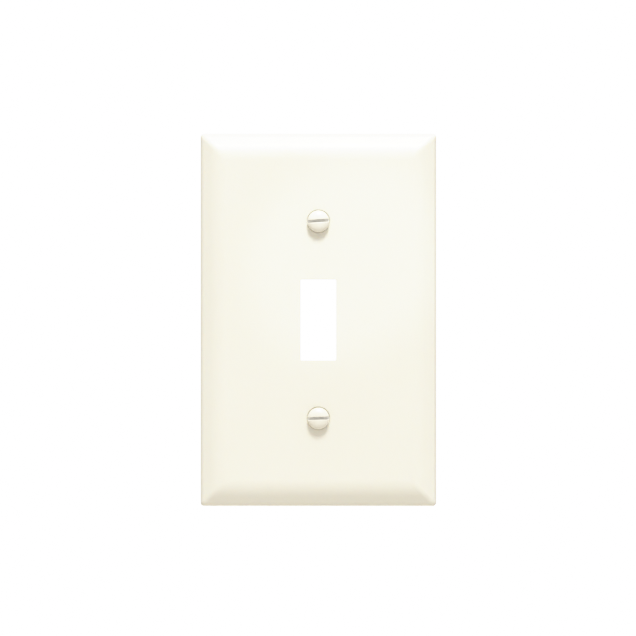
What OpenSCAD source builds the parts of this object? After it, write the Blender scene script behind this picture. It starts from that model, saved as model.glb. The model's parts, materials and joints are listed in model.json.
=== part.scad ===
// One-gang wall plate for a toggle switch: a moulded plate, two oval-head
// screws, and a captive retainer washer on the neck of each screw.
// Millimetres. X is across the plate, -Y is out of the wall, +Z is up.
// The wall plane is y = 0 and the origin is the plate's centre on it.

/* [Plate outline] */
// Width of the plate across the wall
plate_w = 72.4; // [69:0.1:90]
// Height of the plate
plate_h = 114.3; // [110:0.1:135]
// How far the flat front face stands out from the wall
plate_d = 5.6; // [5.3:0.1:6]
// Radius of the four corners seen from the front
corner_r = 1; // [0.5:0.1:1.5]

/* [Bevel] */
// Angle of the straight outer slope from the front face
bevel_angle = 30; // [26:1:31]
// Width of the straight outer slope
bevel_slope_w = 3; // [2.5:0.1:3.4]
// Radius of the arc that joins the slope to the front face
bevel_r = 10; // [8:0.5:10.5]

/* [Hollow back] */
// Width of the rim that lies on the wall
rim_w = 2; // [1.8:0.1:2.4]
// Thickness of the front wall
skin = 2.2; // [1.8:0.1:2.4]
// Thickness of the sloped wall behind the bevel
slope_skin = 2; // [1.7:0.1:2.2]

/* [Toggle opening] */
// Width of the opening for the switch's toggle
opening_w = 10.9; // [10.3:0.1:11.5]
// Height of the opening
opening_h = 24.8; // [23.8:0.1:25.6]
// Radius of the opening's four corners
opening_r = 0.4; // [0.2:0.1:0.8]
// Wall thickness of the collar behind the opening
collar_w = 1.4; // [1:0.1:1.8]
// Gap from the collar to the wall plane
collar_gap = 1.2; // [0.8:0.1:1.6]

/* [Ribs] */
// Distance from the centre line to each upright rib
rib_x = 21; // [19:0.5:24]
// Distance from the middle to each cross rib
rib_z = 19.5; // [17:0.5:21]
// Thickness of the ribs
rib_w = 1.2; // [0.8:0.1:1.6]
// Gap from the ribs to the wall plane
rib_gap = 2.4; // [2:0.1:2.8]
// Distance the ribs end short of the slope beside the bevel
rib_end_gap = 1.2; // [0.5:0.1:4]

/* [Screw seats] */
// Distance between the two screw centres, the standard one-gang spacing
screw_spacing = 60.325; // [58:0.025:62]
// Radius of the clearance hole
seat_hole_r = 2; // [1.95:0.05:2.2]
// Radius of the countersink at the front face
seat_r = 3.6; // [3.55:0.05:3.8]
// Radius of the flat pad behind each seat
pad_r = 4.6; // [4.2:0.1:5]
// Distance from the wall plane to the pad's face
pad_y = 3.08; // [3.06:0.01:3.16]

/* [Screws] */
// Length of a screw from the rim of its head to its tip
screw_length = 12.7; // [11:0.1:16]
// Radius of the head at its rim
head_r = 3.35; // [3.2:0.05:3.45]
// Height of the domed top above the foot of its straight rim
dome_h = 1.6; // [1:0.05:1.8]
// Height of the straight rim between the dome and the cone
rim_land = 0.1; // [0.05:0.05:0.2]
// Included angle of the cone under the head
cone_angle = 82; // [80:1:84]
// Radius of the plain neck under the head
neck_r = 1.495; // [1.4:0.005:1.5]
// Outer radius of the thread
thread_r = 1.7526; // [1.72:0.0001:1.8]
// Length of the bevel on the tip of the thread
tip_bevel = 0.45; // [0.3:0.05:0.6]
// Width of the slot in the head
slot_w = 0.85; // [0.7:0.05:1.1]
// Depth of the slot from the top of the dome
slot_depth = 1.65; // [1.4:0.05:1.9]
// How far the screws are drawn out from home as stored
drawn_out = 1.5875; // [1.2:0.0125:1.6]
// Gap left under the head's cone when a screw is driven home
seat_play = 0.05; // [0.03:0.01:0.1]
// Slant of the upper screw's slot from level
upper_slot_slant = 4; // [0:1:180]
// Slant of the lower screw's slot from level
lower_slot_slant = 2; // [0:1:180]

/* [Retainer washers] */
// Outer radius of a retainer
retainer_r = 3.75; // [3.2:0.05:4]
// Radius of the hole in a retainer
retainer_hole_r = 1.56; // [1.555:0.005:1.59]
// Thickness of a retainer
retainer_t = 0.5; // [0.4:0.05:0.55]
// End play between a retainer and the first thread
retainer_play = 0.03; // [0.02:0.01:0.05]
// Distance from the wall plane to the first thread when a screw is driven home
thread_seated_y = 0.119; // [0.1:0.001:0.2]

/* [Hidden] */
$fn = 96;
bevel_fn = 256;
cut = 1;
lap = 0.5;
bevel_arc_w = bevel_r * sin(bevel_angle);
slope_top_y = plate_d - bevel_r * (1 - cos(bevel_angle));
side_y = slope_top_y - bevel_slope_w * tan(bevel_angle);
hollow_y = plate_d - skin;
hollow_side_y = side_y + rim_w * tan(bevel_angle) - slope_skin / cos(bevel_angle);
hollow_slope_w = (hollow_y - hollow_side_y) / tan(bevel_angle);
hollow_w = plate_w - 2 * rim_w;
hollow_h = plate_h - 2 * rim_w;
rib_z_length = hollow_h - 2 * (hollow_slope_w + rib_end_gap);
rib_x_length = hollow_w - 2 * (hollow_slope_w + rib_end_gap);
hollow_r = 0.6;
cone_h = (head_r - neck_r) / tan(cone_angle / 2);
seat_cone_h = (seat_r - seat_hole_r) / tan(cone_angle / 2);
cap_h = dome_h - rim_land;
dome_r = (head_r * head_r + cap_h * cap_h) / (2 * cap_h);
seat_sink = (seat_r - head_r) / tan(cone_angle / 2) - seat_play;
neck_end = plate_d - seat_sink - thread_seated_y;
rim_y = plate_d - seat_sink + drawn_out;

// A rectangle on the XZ plane with true round corners, pushed out of the wall.
module rounded_block(w, h, r, from_y, to_y) {
    translate([0, -from_y, 0]) rotate([90, 0, 0]) linear_extrude(to_y - from_y)
        union() {
            translate([-w / 2 + r, -h / 2]) square([w - 2 * r, h]);
            translate([-w / 2, -h / 2 + r]) square([w, h - 2 * r]);
            for (x = [-1, 1]) for (z = [-1, 1])
                translate([x * (w / 2 - r), z * (h / 2 - r)]) circle(r = r);
        }
}

// Section of the plate's outside: flat face, arc, straight slope, square side.
module outer_section(width) {
    half = width / 2;
    flat_half = half - bevel_slope_w - bevel_arc_w;
    slope_half = half - bevel_slope_w;
    translate([-flat_half, 0]) square([2 * flat_half, plate_d]);
    for (flip = [0, 1]) mirror([flip, 0]) {
        intersection() {
            translate([flat_half, plate_d - bevel_r]) circle(r = bevel_r, $fn = bevel_fn);
            translate([flat_half - lap, 0]) square([bevel_arc_w + lap, plate_d + cut]);
        }
        polygon([[slope_half - lap, 0], [half, 0], [half, side_y],
            [slope_half, slope_top_y], [slope_half - lap, slope_top_y - lap]]);
    }
}

// Section of the hollow: square side, slope beside the bevel, flat floor.
module hollow_section(width) {
    half = width / 2;
    polygon([[-half, -cut], [half, -cut], [half, hollow_side_y],
        [half - hollow_slope_w, hollow_y], [hollow_slope_w - half, hollow_y],
        [-half, hollow_side_y]]);
}

module outer_form() {
    intersection() {
        rounded_block(plate_w, plate_h, corner_r, 0, plate_d);
        translate([0, 0, -plate_h / 2 - cut]) linear_extrude(plate_h + 2 * cut)
            mirror([0, 1]) outer_section(plate_w);
        rotate([0, 90, 0]) translate([0, 0, -plate_w / 2 - cut])
            linear_extrude(plate_w + 2 * cut) mirror([0, 1]) outer_section(plate_h);
    }
}

module hollow_form() {
    intersection() {
        rounded_block(hollow_w, hollow_h, hollow_r, -cut, hollow_y);
        translate([0, 0, -plate_h / 2]) linear_extrude(plate_h)
            mirror([0, 1]) hollow_section(hollow_w);
        rotate([0, 90, 0]) translate([0, 0, -plate_w / 2])
            linear_extrude(plate_w) mirror([0, 1]) hollow_section(hollow_h);
    }
}

// A straight rib or collar block standing on the inside of the front wall.
module rib_block(w, h, gap) {
    translate([-w / 2, -hollow_y - lap, -h / 2]) cube([w, hollow_y + lap - gap, h]);
}

// Turned shape about a screw's axis: z of the profile runs into the wall.
module turned(at_y) {
    translate([0, at_y, 0]) rotate([-90, 0, 0]) rotate_extrude() children();
}

module screw_seat() {
    turned(-plate_d) polygon([[0, -cut], [seat_r, -cut], [seat_r, 0],
        [seat_hole_r, seat_cone_h], [seat_hole_r, plate_d], [0, plate_d]]);
}

module wall_plate() {
    color([0.93, 0.91, 0.84]) difference() {
        union() {
            difference() {
                outer_form();
                hollow_form();
            }
            rib_block(opening_w + 2 * collar_w, opening_h + 2 * collar_w, collar_gap);
            for (x = [-rib_x, rib_x]) translate([x, 0, 0])
                rib_block(rib_w, rib_z_length, rib_gap);
            for (z = [-rib_z, rib_z]) translate([0, 0, z])
                rib_block(rib_x_length, rib_w, rib_gap);
            for (z = [-1, 1]) translate([0, -pad_y, z * screw_spacing / 2])
                rotate([90, 0, 0]) cylinder(r = pad_r, h = plate_d - pad_y - skin / 2);
        }
        rounded_block(opening_w, opening_h, opening_r, -cut, plate_d + cut);
        for (z = [-1, 1]) translate([0, 0, z * screw_spacing / 2]) screw_seat();
    }
}

// One screw with its head's rim at y = -rim_y and its slot slanted from level.
module screw(slant) {
    difference() {
        union() {
            intersection() {
                translate([0, -rim_y + dome_r - dome_h, 0]) sphere(r = dome_r);
                translate([0, -rim_y, 0]) rotate([90, 0, 0]) cylinder(r = head_r, h = dome_h + cut);
            }
            turned(-rim_y) polygon([[0, 0], [head_r, 0],
                [neck_r, cone_h], [neck_r, neck_end], [thread_r, neck_end],
                [thread_r, screw_length - tip_bevel],
                [thread_r - tip_bevel, screw_length], [0, screw_length]]);
        }
        rotate([0, -slant, 0])
            translate([-head_r - cut, -rim_y - dome_h - cut, -slot_w / 2])
            cube([2 * head_r + 2 * cut, slot_depth + cut, slot_w]);
    }
}

module retainer() {
    translate([0, -rim_y + neck_end - retainer_play, 0]) rotate([90, 0, 0])
        difference() {
            cylinder(r = retainer_r, h = retainer_t);
            translate([0, 0, -cut]) cylinder(r = retainer_hole_r, h = retainer_t + 2 * cut);
        }
}

module upper_screw() {
    color([0.92, 0.9, 0.83]) translate([0, 0, screw_spacing / 2]) screw(upper_slot_slant);
}

module lower_screw() {
    color([0.92, 0.9, 0.83]) translate([0, 0, -screw_spacing / 2]) screw(lower_slot_slant);
}

module upper_screw_retainer() {
    color([0.86, 0.87, 0.85]) translate([0, 0, screw_spacing / 2]) retainer();
}

module lower_screw_retainer() {
    color([0.86, 0.87, 0.85]) translate([0, 0, -screw_spacing / 2]) retainer();
}

wall_plate();
upper_screw();
lower_screw();
upper_screw_retainer();
lower_screw_retainer();
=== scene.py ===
import json
import math

import bmesh
import bpy
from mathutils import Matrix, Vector


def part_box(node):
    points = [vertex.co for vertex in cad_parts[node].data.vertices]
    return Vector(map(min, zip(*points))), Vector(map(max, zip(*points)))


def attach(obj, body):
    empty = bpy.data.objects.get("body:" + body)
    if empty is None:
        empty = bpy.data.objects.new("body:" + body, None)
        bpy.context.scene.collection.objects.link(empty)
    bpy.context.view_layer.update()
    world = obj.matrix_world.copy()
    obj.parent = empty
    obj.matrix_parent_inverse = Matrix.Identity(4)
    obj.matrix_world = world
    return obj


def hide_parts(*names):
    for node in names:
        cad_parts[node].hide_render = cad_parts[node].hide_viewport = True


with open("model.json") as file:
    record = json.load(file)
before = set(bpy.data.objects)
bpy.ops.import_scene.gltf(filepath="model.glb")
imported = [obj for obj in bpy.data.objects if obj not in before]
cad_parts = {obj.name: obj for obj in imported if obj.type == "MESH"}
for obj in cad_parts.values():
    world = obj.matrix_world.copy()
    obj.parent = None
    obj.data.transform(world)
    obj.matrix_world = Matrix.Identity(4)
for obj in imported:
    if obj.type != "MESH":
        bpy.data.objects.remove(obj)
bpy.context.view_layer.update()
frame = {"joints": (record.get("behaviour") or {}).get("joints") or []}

# Sizes here are in millimetres, and meshes are made in metres in the row frame:
# X across the plate, -Y out of the wall, +Z up, wall plane at y = 0.
MM = 0.001
plate_low, plate_high = (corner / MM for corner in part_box("wall_plate"))
screw_low, screw_high = (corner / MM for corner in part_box("upper_screw"))
washer_low, washer_high = (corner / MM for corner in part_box("upper_screw_retainer"))
HINGE_Z = {j["child"]: j["pos_m"][2] / MM for j in frame["joints"] if j["type"] == "hinge"}

# The moulded plate
HALF_W = plate_high.x
HALF_H = plate_high.z
FACE_Y = plate_low.y
SLOPE_W = 3.0
BEVEL_ANGLE = math.radians(30)
BEVEL_R = 10.0
EDGE_R = 2.2
RIM_W = 2.0
SKIN = 2.2
SLOPE_SKIN = 2.0
FLOOR_Y = FACE_Y + SKIN
OPENING_W = 10.9
OPENING_H = 24.8
OPENING_R = 0.4
OPENING_EDGE_R = 0.12
COLLAR_W = 1.4
COLLAR_Y = -1.2
RIB_X = 21.0
RIB_Z = 19.5
RIB_W = 1.2
RIB_Y = -2.4
RIB_END_GAP = 1.2
SEAT_HOLE_R = 2.0
SEAT_R = 3.6
PAD_R = 4.6
PAD_Y = -3.08
CONE_ANGLE = math.radians(41)
PIN_MARK_R = 1.9
PIN_MARK_H = 0.12
PIN_MARK_X = 25.5
PIN_MARK_Z = 44
INNER_PIN_MARK_X = 13.5

# The screws
HEAD_R = 3.35
DOME_H = 1.6
DOME_POWER = 2.5
RIM_Y = screw_low.y + DOME_H
TIP_Y = screw_high.y
NECK_R = 1.495
THREAD_R = 1.7526
THREAD_START = 5.243
PITCH = 0.79375
THREAD_DEPTH = 0.613 * PITCH
CREST_SHARE = 0.2
FLANK_SHARE = 0.62
TIP_FLAT_R = 0.6
TIP_BEVEL = 0.45
SLOT_W = 0.85
SLOT_DEPTH = 1.65
UPPER_EDGE_R = 0.08
LOWER_EDGE_R = 0.2
SLOT_SLANT = {"upper_screw": math.radians(4), "lower_screw": math.radians(2)}
SLOT_SHIFT = {"upper_screw": 0.15, "lower_screw": 0.05}

# The retainer washers
WASHER_R = 3.75
WASHER_HOLE_R = 1.56

# Studio light, as linear colours
OVERHEAD_LIGHT = (0.81, 0.79, 0.76, 1)
BELOW_LIGHT = (0.387, 0.372, 0.360, 1)

# The lamps, in metres. Both stand high up in front of the plate and a little to its
# right. The second one only makes the pale patch above and right of the opening.
KEY_STAND = (0.12, -0.975, 1.393)
PATCH_CENTRE = (0.009, FACE_Y * MM, 0.020)
PATCH_LAMP_R = 0.005
PATCH_BLEND = 0.5

# The camera's tone curve: how bright a light level looks, up to pure white
BRIGHTEST = 1.5
TONE_CURVE = ((0.2, 0.2), (0.5, 0.5), (0.75, 0.755), (0.9, 0.885), (1.0, 0.938),
              (1.15, 0.965), (1.35, 0.983))

# Mesh fineness
ARC_STEPS = 5
TURN_STEPS = 72
HEAD_STEPS = 30
DOME_ROWS = 10
EDGE_STEPS = 4
LEAD = 0.1


# ---------------------------------------------------------------- mesh tools

def rounded(corners, steps=ARC_STEPS, closed=False, lead=LEAD):
    """A line through (u, v, radius) corners with each corner rounded by an arc, and
    a point a short lead past every arc so that shading stays flat between them."""
    count = len(corners)
    line = []
    for i, (u, v, radius) in enumerate(corners):
        here = Vector((u, v))
        is_end = not closed and i in (0, count - 1)
        if is_end or radius == 0:
            line.append(here)
            continue
        back = (Vector(corners[i - 1][:2]) - here).normalized()
        on = (Vector(corners[(i + 1) % count][:2]) - here).normalized()
        half = back.angle(on) / 2
        reach = radius / math.tan(half)
        centre = here + (back + on).normalized() * radius / math.sin(half)
        spoke = here + back * reach - centre
        turn = spoke.angle_signed(here + on * reach - centre)
        line.append(here + back * (reach + lead))
        for k in range(steps + 1):
            a = -turn * k / steps
            line.append(centre + Vector((spoke.x * math.cos(a) - spoke.y * math.sin(a),
                                         spoke.x * math.sin(a) + spoke.y * math.cos(a))))
        line.append(here + on * (reach + lead))
    return [(p.x, p.y) for p in line]


def outline(corners, radius, least_radius=0.05):
    """offset -> closed rounded outline of a right-angled polygon of (x, z) corners
    listed anticlockwise, moved outwards by that offset."""
    count = len(corners)

    def at(offset):
        moved = []
        for i, (x, z) in enumerate(corners):
            before = Vector(corners[i - 1])
            after = Vector(corners[(i + 1) % count])
            a = (Vector((x, z)) - before).normalized()
            b = (after - Vector((x, z))).normalized()
            outward = Vector((a.y, -a.x)) + Vector((b.y, -b.x))
            bulges = a.x * b.y - a.y * b.x > 0
            r = max(least_radius, radius + (offset if bulges else -offset))
            moved.append((x + outward.x * offset, z + outward.y * offset, r))
        return rounded(moved, closed=True)

    return at


def rectangle(half_w, half_h):
    return [(-half_w, -half_h), (half_w, -half_h), (half_w, half_h), (-half_w, half_h)]


def circle(x, z, steps=TURN_STEPS):
    """radius -> circle of (x, z) points round a centre."""
    angles = [2 * math.pi * k / steps for k in range(steps)]
    return lambda radius: [(x + radius * math.cos(a), z + radius * math.sin(a)) for a in angles]


def add_ring(bm, points, y):
    return [bm.verts.new((x * MM, y * MM, z * MM)) for x, z in points]


def skin(bm, ring_a, ring_b):
    count = len(ring_a)
    for i in range(count):
        k = (i + 1) % count
        bm.faces.new((ring_a[i], ring_a[k], ring_b[k], ring_b[i]))


def loft(bm, shape, path):
    """Skins rings of shape(offset) along a path of (offset, y) points, and returns
    the first and the last ring."""
    rings = [add_ring(bm, shape(offset), y) for offset, y in path]
    for a, b in zip(rings, rings[1:]):
        skin(bm, a, b)
    return rings[0], rings[-1]


def fill_flat(bm, rings):
    """Fills the flat area that lies between these rings."""
    edges = []
    for ring in rings:
        for i, vert in enumerate(ring):
            pair = (vert, ring[(i + 1) % len(ring)])
            edges.append(bm.edges.get(pair) or bm.edges.new(pair))
    bmesh.ops.triangle_fill(bm, use_beauty=True, use_dissolve=False, edges=edges)


def finish_mesh(bm, name):
    bmesh.ops.recalc_face_normals(bm, faces=bm.faces)
    open_edges = sum(1 for e in bm.edges if len(e.link_faces) != 2)
    if open_edges:
        raise RuntimeError(f"{name} has {open_edges} open edges")
    mesh = bpy.data.meshes.new(name)
    bm.to_mesh(mesh)
    bm.free()
    mesh.shade_smooth()
    piece = bpy.data.objects.new(name, mesh)
    bpy.context.scene.collection.objects.link(piece)
    return piece


# ---------------------------------------------------------------- the plate

def edge_path():
    """Section of the plate's border as (offset, y) points, from the floor of the hollow
    back, round the rim, and over the bevel to the flat face. Offsets inwards from the
    edge are negative. Also returns how far in from the edge the hollow's floor ends."""
    rise = math.tan(BEVEL_ANGLE)
    arc_rise = BEVEL_R * (1 - math.cos(BEVEL_ANGLE))
    side_y = FACE_Y + arc_rise + SLOPE_W * rise
    crest = SLOPE_W + BEVEL_R * math.tan(BEVEL_ANGLE / 2) * math.cos(BEVEL_ANGLE)
    hollow_side_y = side_y - RIM_W * rise + SLOPE_SKIN / math.cos(BEVEL_ANGLE)
    floor_inset = RIM_W + (hollow_side_y - FLOOR_Y) / rise
    face_inset = SLOPE_W + BEVEL_R * math.sin(BEVEL_ANGLE) + 0.5
    corners = [(floor_inset + 0.45, FLOOR_Y, 0), (floor_inset, FLOOR_Y, 0.8),
               (RIM_W, hollow_side_y, 0.4), (RIM_W, 0, 0.15), (0, 0, 0.15),
               (0, side_y, EDGE_R), (crest, FACE_Y, BEVEL_R), (face_inset, FACE_Y, 0)]
    return [(-inset, y) for inset, y in rounded(corners, steps=10)], floor_inset


def rib_outline(floor_inset):
    """Corners of the grid of four crossed ribs, and of the cell in its middle."""
    end_x = HALF_W - floor_inset - RIB_END_GAP
    end_z = HALF_H - floor_inset - RIB_END_GAP
    in_x, out_x = RIB_X - RIB_W / 2, RIB_X + RIB_W / 2
    in_z, out_z = RIB_Z - RIB_W / 2, RIB_Z + RIB_W / 2
    quarter = [(out_x, in_z), (end_x, in_z), (end_x, out_z), (out_x, out_z),
               (out_x, end_z), (in_x, end_z), (in_x, out_z)]
    corners = list(quarter)
    corners += [(-x, z) for x, z in reversed(quarter)]
    corners += [(-x, -z) for x, z in quarter]
    corners += [(x, -z) for x, z in reversed(quarter)]
    return corners, rectangle(in_x, in_z)


def make_plate():
    bm = bmesh.new()
    path, floor_inset = edge_path()
    border = outline(rectangle(HALF_W, HALF_H), radius=1.0, least_radius=1.0)
    floor_edge, face_edge = loft(bm, border, path)

    # the toggle opening, with the collar behind it
    opening = outline(rectangle(OPENING_W / 2, OPENING_H / 2), radius=OPENING_R)
    collar_path = rounded([(OPENING_EDGE_R + 0.3, FACE_Y, 0), (0, FACE_Y, OPENING_EDGE_R),
                           (0, COLLAR_Y, 0.12), (COLLAR_W, COLLAR_Y, 0.2),
                           (COLLAR_W, FLOOR_Y, 0.35), (COLLAR_W + 0.6, FLOOR_Y, 0)])
    opening_front, collar_foot = loft(bm, opening, collar_path)

    # the two countersunk screw seats, with the pads behind them
    cone_end = FACE_Y + (SEAT_R - SEAT_HOLE_R) / math.tan(CONE_ANGLE)
    seat_path = rounded([(SEAT_R + 0.6, FACE_Y, 0), (SEAT_R, FACE_Y, 0.15),
                         (SEAT_HOLE_R, cone_end, 0.2), (SEAT_HOLE_R, PAD_Y, 0.1),
                         (PAD_R, PAD_Y, 0.1), (PAD_R, FLOOR_Y, 0.1),
                         (PAD_R + 0.4, FLOOR_Y, 0)], lead=0.05)
    seats = [loft(bm, circle(0, z), seat_path) for z in HINGE_Z.values()]
    fill_flat(bm, [face_edge, opening_front] + [front for front, foot in seats])

    # the low crossed ribs
    grid, cell = rib_outline(floor_inset)
    rib_path = rounded([(0.45, FLOOR_Y, 0), (0, FLOOR_Y, 0.3), (0, RIB_Y, 0.2),
                        (-0.4, RIB_Y, 0)], lead=0.05)
    grid_foot, grid_top = loft(bm, outline(grid, radius=0.15), rib_path)
    inward = [(-offset, y) for offset, y in rib_path]
    cell_foot, cell_top = loft(bm, outline(cell, radius=0.15), inward)
    fill_flat(bm, [grid_top, cell_top])

    # round marks that the mould's ejector pins leave
    mark_path = rounded([(PIN_MARK_R + 0.3, FLOOR_Y, 0), (PIN_MARK_R, FLOOR_Y, 0.05),
                         (PIN_MARK_R, FLOOR_Y + PIN_MARK_H, 0.05),
                         (PIN_MARK_R - 0.3, FLOOR_Y + PIN_MARK_H, 0)], steps=2, lead=0.03)
    outer_marks = [(x, z) for x in (-PIN_MARK_X, PIN_MARK_X) for z in (-PIN_MARK_Z, 0, PIN_MARK_Z)]
    outer_marks += [(0, -PIN_MARK_Z), (0, PIN_MARK_Z)]
    inner_marks = [(-INNER_PIN_MARK_X, 0), (INNER_PIN_MARK_X, 0)]
    outer_feet, inner_feet = [], []
    for spots, feet in ((outer_marks, outer_feet), (inner_marks, inner_feet)):
        for x, z in spots:
            foot, top = loft(bm, circle(x, z, 40), mark_path)
            feet.append(foot)
            fill_flat(bm, [top])
    fill_flat(bm, [floor_edge, grid_foot] + outer_feet + [foot for front, foot in seats])
    fill_flat(bm, [cell_foot, collar_foot] + inner_feet)
    return finish_mesh(bm, "moulded_plate")


# ---------------------------------------------------------------- the screws

def dome_rise(radius):
    """Height of the head's dome above its rim at a distance from the axis. The dome is
    nearly flat in the middle and turns down ever faster towards the rim."""
    return DOME_H * math.sqrt(1 - min(1, radius / HEAD_R) ** DOME_POWER)


def thread_radius(angle, along):
    """Radius of the right-hand thread where angle turns about +Y from +Z."""
    tip = TIP_Y - RIM_Y
    phase = (along / PITCH - angle / (2 * math.pi)) % 1
    flank = (abs(phase - 0.5) * 2 - CREST_SHARE) / FLANK_SHARE
    height = 1 - min(1, max(0, flank))
    start = min(1, max(0, (along - THREAD_START) / (0.5 * PITCH)))
    cut = min(1, max(0, (tip - along) / TIP_BEVEL))
    root = THREAD_R - THREAD_DEPTH
    radius = NECK_R + (root + THREAD_DEPTH * height - NECK_R) * start
    return min(radius, THREAD_R - TIP_BEVEL * (1 - cut))


def dome_strip(s, side, near, reach, edge_r):
    """Points (s, t, along) down one side of the dome at a fixed s, from the slot's wall
    to the rim. They start with the slot's rounded edge and get denser at the rim."""
    if reach - near < 1e-6:
        return [(s, side * near, 0)] * (EDGE_STEPS + DOME_ROWS)
    edge = min(edge_r, (reach - near) / 2)
    spots = []
    for k in range(EDGE_STEPS):
        a = math.pi / 2 * k / EDGE_STEPS
        spots.append((near + edge * (1 - math.cos(a)), edge * (1 - math.sin(a))))
    for k in range(DOME_ROWS):
        a = math.pi / 2 * k / (DOME_ROWS - 1)
        spots.append((near + edge + (reach - near - edge) * math.sin(a), 0))
    return [(s, side * t, drop - dome_rise(math.hypot(s, t))) for t, drop in spots]


def make_screw(name):
    """An oval-head screw: domed head with a milled slot, plain neck, rolled thread."""
    bm = bmesh.new()
    slot_painted_light = bm.verts.layers.float.new("slot_painted_light")
    slant = SLOT_SLANT[name]
    axis_z = HINGE_Z[name]
    floor = SLOT_DEPTH - DOME_H
    floor_r = HEAD_R - floor * math.tan(CONE_ANGLE)

    def vert(s, t, along):
        """s runs along the slot, t across it, and along runs from rim to tip."""
        x = s * math.cos(slant) - t * math.sin(slant)
        z = s * math.sin(slant) + t * math.cos(slant)
        return bm.verts.new((x * MM, (RIM_Y + along) * MM, (axis_z + z) * MM))

    floor_ring, slot_corners = [], []
    for side, edge_r in ((1, UPPER_EDGE_R), (-1, LOWER_EDGE_R)):
        near = SLOT_W / 2 + side * SLOT_SHIFT[name]
        corner = math.asin(near / HEAD_R)
        angles = [corner + (math.pi - 2 * corner) * i / HEAD_STEPS for i in range(HEAD_STEPS + 1)]
        strips = []
        for a in angles:
            points = dome_strip(side * HEAD_R * math.cos(a), side, near, HEAD_R * math.sin(a),
                                edge_r)
            if len(set(points)) == 1:
                strips.append([vert(*points[0])] * len(points))
            else:
                strips.append([vert(*point) for point in points])
        for left, right in zip(strips, strips[1:]):
            for k in range(len(left) - 1):
                corners = dict.fromkeys((left[k], right[k], right[k + 1], left[k + 1]))
                if len(corners) > 2:
                    bm.faces.new(corners)
        # down the cone to the level of the slot's floor
        foot_s = side * math.sqrt(floor_r ** 2 - near ** 2)
        foot = [vert(foot_s, side * near, floor)]
        foot += [vert(side * floor_r * math.cos(a), side * floor_r * math.sin(a), floor)
                 for a in angles[1:-1]]
        foot.append(vert(-foot_s, side * near, floor))
        for i in range(HEAD_STEPS):
            bm.faces.new((strips[i][-1], strips[i + 1][-1], foot[i + 1], foot[i]))
        # the slot's wall on this side, and the middle of the slot's open end after it
        wall = [strip[0] for strip in strips] + [foot[-1], foot[0]]
        bm.faces.new(wall)
        end = vert(-side * floor_r, 0, floor)
        floor_ring += foot + [end]
        slot_corners += [foot[0], foot[-1], end]
        # mark the slot's walls and floor for the paler colour that paints light into the slot's
        # shaded hollow
        for v in wall + [end]:
            v[slot_painted_light] = 1
    bm.faces.new(slot_corners)

    # rings down the cone, neck and thread
    turns = [math.atan2(v.co.x / MM, v.co.z / MM - axis_z) for v in floor_ring]

    def ring(radius_at, along):
        points = [(radius_at(a) * math.sin(a), axis_z + radius_at(a) * math.cos(a)) for a in turns]
        return add_ring(bm, points, RIM_Y + along)

    tip = TIP_Y - RIM_Y
    cone_end = (HEAD_R - NECK_R) / math.tan(CONE_ANGLE)
    neck = rounded([(floor_r, floor, 0), (NECK_R, cone_end, 0.25), (NECK_R, THREAD_START, 0)])
    rings = [floor_ring]
    for radius, along in neck[1:]:
        rings.append(ring(lambda a, r=radius: r, along))
    thread_rows = round((tip - THREAD_START) / PITCH * 16)
    for k in range(1, thread_rows + 1):
        along = THREAD_START + (tip - THREAD_START) * k / thread_rows
        rings.append(ring(lambda a, y=along: thread_radius(a, y), along))
    for a, b in zip(rings, rings[1:]):
        skin(bm, a, b)
    inner = ring(lambda a: TIP_FLAT_R, tip)
    skin(bm, rings[-1], inner)
    bm.faces.new(inner)

    piece = finish_mesh(bm, name + "_detailed")
    piece.data.set_sharp_from_angle(angle=math.radians(60))
    even = piece.modifiers.new("even_shading", "WEIGHTED_NORMAL")
    even.keep_sharp = True
    return piece


# ---------------------------------------------------------------- the retainers

def make_retainer(name, axis_z):
    """A moulded washer with softened edges."""
    bm = bmesh.new()
    front, rear = washer_low.y, washer_high.y
    section = rounded([(WASHER_HOLE_R, front, 0.1), (WASHER_R, front, 0.12),
                       (WASHER_R, rear, 0.12), (WASHER_HOLE_R, rear, 0.1)],
                      closed=True, lead=0.03)
    first, last = loft(bm, circle(0, axis_z), section)
    skin(bm, last, first)
    return finish_mesh(bm, name + "_detailed")


# ---------------------------------------------------------------- materials

def new_material(name):
    material = bpy.data.materials.new(name)
    material.use_nodes = True
    tree = material.node_tree
    shader = tree.nodes["Principled BSDF"]
    return material, tree, shader


def node(tree, kind, inputs=None, **settings):
    made = tree.nodes.new(kind)
    for key, value in settings.items():
        setattr(made, key, value)
    for key, value in (inputs or {}).items():
        if isinstance(value, bpy.types.NodeSocket):
            tree.links.new(value, made.inputs[key])
        else:
            made.inputs[key].default_value = value
    return made


def noise(tree, coords, size_mm, detail=2.0, roughness=0.5):
    """Noise whose features are about size_mm across."""
    inputs = {"Vector": coords, "Scale": 1 / (size_mm * MM), "Detail": detail,
              "Roughness": roughness}
    return node(tree, "ShaderNodeTexNoise", inputs).outputs["Fac"]


def spread(tree, value, low, high, from_low=0.3, from_high=0.7):
    return node(tree, "ShaderNodeMapRange", {"Value": value, "From Min": from_low,
                                             "From Max": from_high, "To Min": low,
                                             "To Max": high}).outputs["Result"]


def blend_colours(tree, factor, first, second):
    mixed = node(tree, "ShaderNodeMix", {0: factor, 6: first, 7: second}, data_type="RGBA")
    return mixed.outputs[2]


def bump(tree, height, depth_mm, strength=1.0, over=None):
    inputs = {"Height": height, "Distance": depth_mm * MM, "Strength": strength}
    if over is not None:
        inputs["Normal"] = over
    return node(tree, "ShaderNodeBump", inputs).outputs["Normal"]


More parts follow.
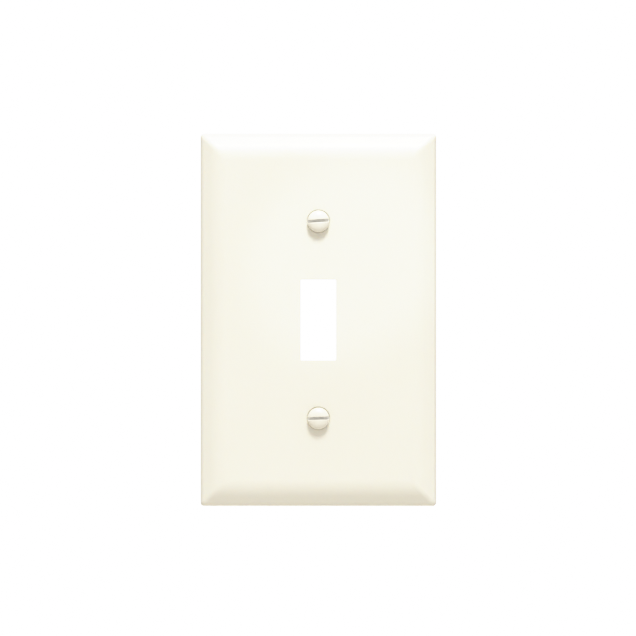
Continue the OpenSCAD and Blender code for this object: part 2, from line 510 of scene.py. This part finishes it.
def plate_plastic():
    """Light almond thermoplastic: satin gloss, faint orange peel, colour a little uneven."""
    material, tree, shader = new_material("light_almond_plastic")
    coords = node(tree, "ShaderNodeTexCoord").outputs["Object"]
    flow = spread(tree, noise(tree, coords, 30, detail=1.5), 0, 1)
    colour = blend_colours(tree, flow, (0.904, 0.870, 0.764, 1), (0.910, 0.878, 0.776, 1))
    gloss = noise(tree, coords, 6, detail=3)
    peel = noise(tree, coords, 0.75, detail=1)
    grain = noise(tree, coords, 0.12, detail=2)
    tree.links.new(colour, shader.inputs["Base Color"])
    tree.links.new(spread(tree, gloss, 0.30, 0.38), shader.inputs["Roughness"])
    tree.links.new(bump(tree, grain, 0.0012, over=bump(tree, peel, 0.008)),
                   shader.inputs["Normal"])
    shader.inputs["IOR"].default_value = 1.5
    shader.inputs["Subsurface Weight"].default_value = 0.12
    shader.inputs["Subsurface Radius"].default_value = (1.0, 0.8, 0.5)
    shader.inputs["Subsurface Scale"].default_value = 0.6 * MM
    return material


def painted_screw():
    """Almond paint on the head that thins out onto the zinc-plated neck and thread. The slot's
    walls and floor are given a paler, less yellow colour: painted light that brightens the slot's
    shaded hollow.
    """
    material, tree, shader = new_material("painted_screw_steel")
    coords = node(tree, "ShaderNodeTexCoord").outputs["Object"]
    along = node(tree, "ShaderNodeSeparateXYZ", {"Vector": coords}).outputs["Y"]
    speckle = noise(tree, coords, 0.35, detail=4)
    wobble = node(tree, "ShaderNodeMath", {0: speckle, 1: 1.2 * MM}, operation="MULTIPLY")
    edge = node(tree, "ShaderNodeMath", {0: along, 1: wobble.outputs[0]}, operation="ADD")
    cone_end = RIM_Y + (HEAD_R - NECK_R) / math.tan(CONE_ANGLE)
    fade_start, fade_end = cone_end + 0.3, cone_end + 0.6
    bare = spread(tree, edge.outputs[0], 0, 1, fade_start * MM, fade_end * MM)
    paint = blend_colours(tree, spread(tree, noise(tree, coords, 1.4), 0, 1),
                          (0.888, 0.841, 0.725, 1), (0.918, 0.875, 0.768, 1))
    # painted light: the slot's walls and floor turn paler and less yellow, brightening the shaded
    # hollow of the slot
    slot_painted_light = node(tree, "ShaderNodeAttribute", attribute_name="slot_painted_light").outputs["Fac"]
    paint = blend_colours(tree, slot_painted_light, paint, (0.92, 0.905, 0.86, 1))
    zinc = blend_colours(tree, spread(tree, noise(tree, coords, 0.5, detail=4), 0, 1),
                         (0.50, 0.52, 0.54, 1), (0.66, 0.67, 0.66, 1))
    tree.links.new(blend_colours(tree, bare, paint, zinc), shader.inputs["Base Color"])
    tree.links.new(bare, shader.inputs["Metallic"])
    rough = node(tree, "ShaderNodeMix", {0: bare, 2: spread(tree, speckle, 0.30, 0.38),
                                         3: spread(tree, speckle, 0.22, 0.42)})
    tree.links.new(rough.outputs[0], shader.inputs["Roughness"])
    shader.inputs["Coat Weight"].default_value = 0.5
    shader.inputs["Coat Roughness"].default_value = 0.25
    tree.links.new(bump(tree, noise(tree, coords, 0.22, detail=2), 0.006),
                   shader.inputs["Normal"])
    return material


def retainer_nylon():
    """Natural nylon: milky, with light passing a little way in."""
    material, tree, shader = new_material("natural_nylon")
    coords = node(tree, "ShaderNodeTexCoord").outputs["Object"]
    cloud = noise(tree, coords, 1.6, detail=3)
    colour = blend_colours(tree, spread(tree, cloud, 0, 1),
                           (0.78, 0.79, 0.74, 1), (0.86, 0.865, 0.83, 1))
    tree.links.new(colour, shader.inputs["Base Color"])
    tree.links.new(spread(tree, noise(tree, coords, 0.6), 0.38, 0.52), shader.inputs["Roughness"])
    tree.links.new(bump(tree, noise(tree, coords, 0.2), 0.004), shader.inputs["Normal"])
    shader.inputs["Subsurface Weight"].default_value = 0.6
    shader.inputs["Subsurface Radius"].default_value = (1.0, 0.95, 0.8)
    shader.inputs["Subsurface Scale"].default_value = 0.8 * MM
    return material


# ---------------------------------------------------------------- the studio

def make_floor():
    """A pale round floor, 1 m in radius, well below the plate."""
    level, steps = -0.30, 96
    bm = bmesh.new()
    rim = [bm.verts.new((math.cos(a), math.sin(a), level))
           for a in (2 * math.pi * k / steps for k in range(steps))]
    bm.faces.new(rim)
    mesh = bpy.data.meshes.new("floor")
    bm.to_mesh(mesh)
    bm.free()
    floor = bpy.data.objects.new("floor", mesh)
    bpy.context.scene.collection.objects.link(floor)
    material, tree, shader = new_material("pale_floor")
    coords = node(tree, "ShaderNodeTexCoord").outputs["Object"]
    colour = blend_colours(tree, noise(tree, coords, 60),
                           (0.68, 0.65, 0.60, 1), (0.72, 0.69, 0.64, 1))
    tree.links.new(colour, shader.inputs["Base Color"])
    shader.inputs["Roughness"].default_value = 0.6
    floor.data.materials.append(material)


def make_world():
    """A slightly warm room round the object, dim below and brighter towards the ceiling.
    The camera sees plain white behind the object."""
    world = bpy.data.worlds.new("studio")
    bpy.context.scene.world = world
    world.use_nodes = True
    tree = world.node_tree
    direction = node(tree, "ShaderNodeTexCoord").outputs["Generated"]
    up = node(tree, "ShaderNodeSeparateXYZ", {"Vector": direction}).outputs["Z"]
    light = blend_colours(tree, spread(tree, up, 0, 1, -1, 1), BELOW_LIGHT, OVERHEAD_LIGHT)
    seen = node(tree, "ShaderNodeLightPath").outputs["Is Camera Ray"]
    colour = blend_colours(tree, seen, light, (BRIGHTEST, BRIGHTEST, BRIGHTEST, 1))
    tree.links.new(colour, tree.nodes["Background"].inputs["Color"])


def area_light(name, stand, size, power, colour):
    """A disk lamp that stands at a point and faces the middle of the plate."""
    data = bpy.data.lights.new(name, "AREA")
    data.shape = "DISK"
    data.size = size
    data.energy = power
    data.color = colour
    lamp = bpy.data.objects.new(name, data)
    bpy.context.scene.collection.objects.link(lamp)
    lamp.location = stand
    lamp.rotation_euler = (-Vector(stand)).to_track_quat("-Z", "Y").to_euler()


def patch_light(name, stand, target, radius, power, colour):
    """A spot with a soft edge that lights a round patch on the plate's face. The face is
    upright and the beam slants down to it, so the cone is narrowed from top to bottom by
    the slant's cosine, or the patch would be a tall ellipse."""
    data = bpy.data.lights.new(name, "SPOT")
    data.energy = power
    data.color = colour
    data.shadow_soft_size = PATCH_LAMP_R
    beam = Vector(target) - Vector(stand)
    data.spot_size = 2 * math.atan(radius / beam.length)
    data.spot_blend = PATCH_BLEND
    lamp = bpy.data.objects.new(name, data)
    bpy.context.scene.collection.objects.link(lamp)
    lamp.location = stand
    lamp.rotation_euler = beam.to_track_quat("-Z", "Y").to_euler()
    lamp.scale.y = beam.normalized().y


def make_camera():
    """Square on to the plate, a hair above its centre. The picture takes in frame_width
    at the plate's face."""
    distance = 1.5
    frame_width = 0.1948
    left, up = 0.00012, 0.00058
    data = bpy.data.cameras.new("camera")
    data.sensor_width = 36
    data.lens = data.sensor_width * distance / frame_width
    data.clip_end = 20
    camera = bpy.data.objects.new("camera", data)
    bpy.context.scene.collection.objects.link(camera)
    camera.location = (-left, FACE_Y * MM - distance, up)
    camera.rotation_euler = (math.pi / 2, 0, 0)
    bpy.context.scene.camera = camera


def roll_off_highlights():
    """The camera's tone curve: straight for most of the range, then bending over so
    that bright surfaces pale towards white as they do in a bright product photograph."""
    view = bpy.context.scene.view_settings
    view.view_transform = "Standard"
    view.use_curve_mapping = True
    tones = view.curve_mapping
    tones.white_level = (BRIGHTEST, BRIGHTEST, BRIGHTEST)
    curve = tones.curves[3]
    for light, shown in TONE_CURVE:
        curve.points.new(light / BRIGHTEST, shown)
    tones.update()


# ---------------------------------------------------------------- assembly

def place(piece, body, cad_node, material):
    piece.data.materials.append(material)
    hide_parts(cad_node)
    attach(piece, body)


place(make_plate(), "plate", "wall_plate", plate_plastic())
screw_material = painted_screw()
nylon = retainer_nylon()
for end in ("upper", "lower"):
    screw_name = end + "_screw"
    place(make_screw(screw_name), screw_name, screw_name, screw_material)
    washer = make_retainer(screw_name + "_retainer", HINGE_Z[screw_name])
    place(washer, end + "_carrier", screw_name + "_retainer", nylon)

make_floor()
make_world()
area_light("key", KEY_STAND, size=0.55, power=20.7, colour=(0.925, 0.973, 1.0))
patch_light("patch", KEY_STAND, PATCH_CENTRE, radius=0.036, power=14.5, colour=(0.7, 0.95, 1.1))
make_camera()
roll_off_highlights()
